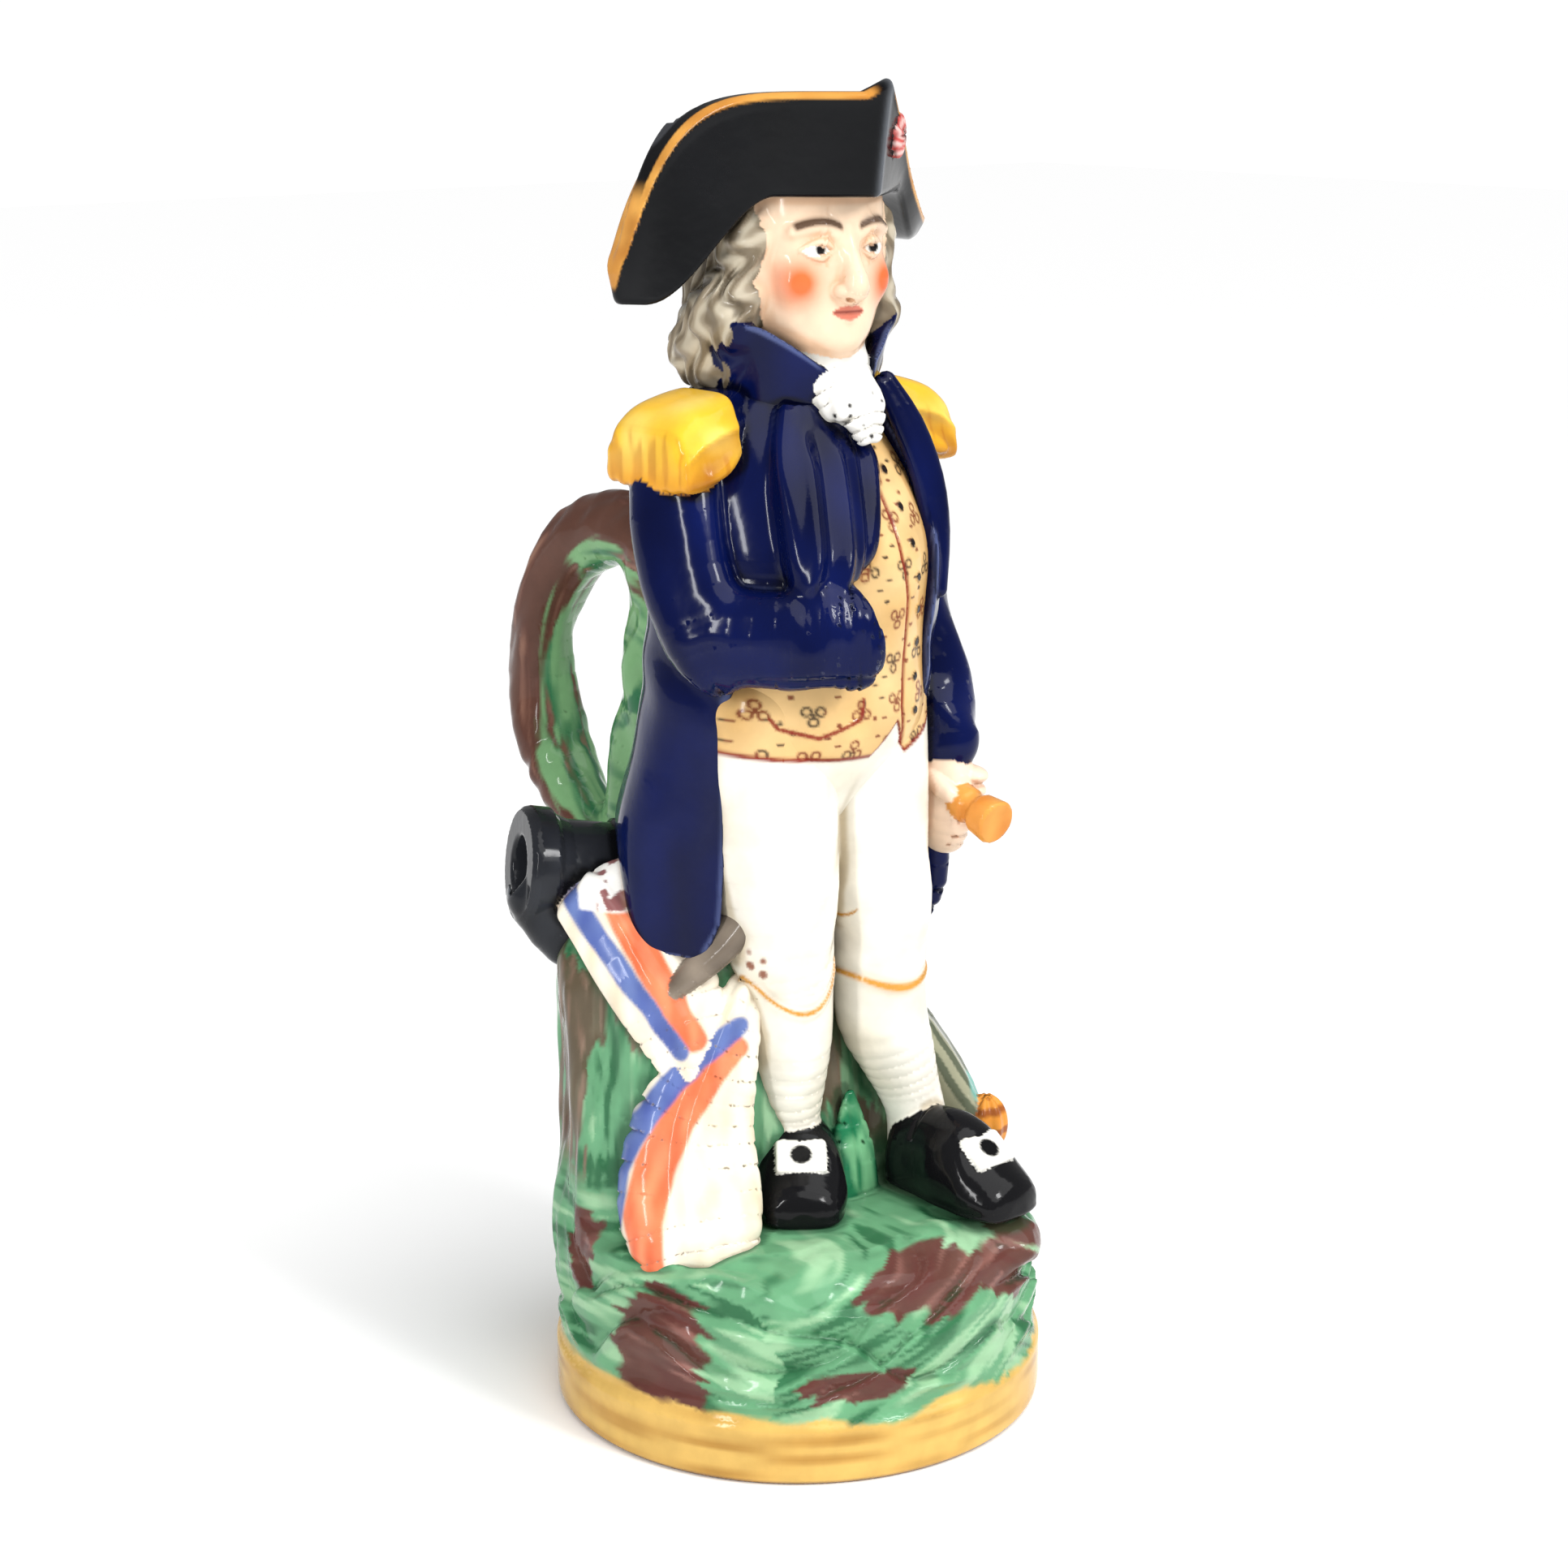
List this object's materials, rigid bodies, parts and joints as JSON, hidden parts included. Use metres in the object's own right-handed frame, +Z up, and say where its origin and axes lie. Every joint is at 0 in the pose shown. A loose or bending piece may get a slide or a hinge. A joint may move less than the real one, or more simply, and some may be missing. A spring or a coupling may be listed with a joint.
{
  "type": "toby jug",
  "caption": "Glazed earthenware toby jug: a standing naval officer in a cocked hat that is the mouth and spout, with a branch handle behind.",
  "frame": {"origin": "middle of the flat underside of the foot", "axes": "+Z up, -Y the way the officer faces, +X his left, +Y towards the handle"},
  "size_m": [0.108, 0.151, 0.2855],
  "materials": {
    "glazed_earthenware": "gloss"
  },
  "bodies": {
    "root": {"jug": "glazed_earthenware"}
  },
  "joints": []
}
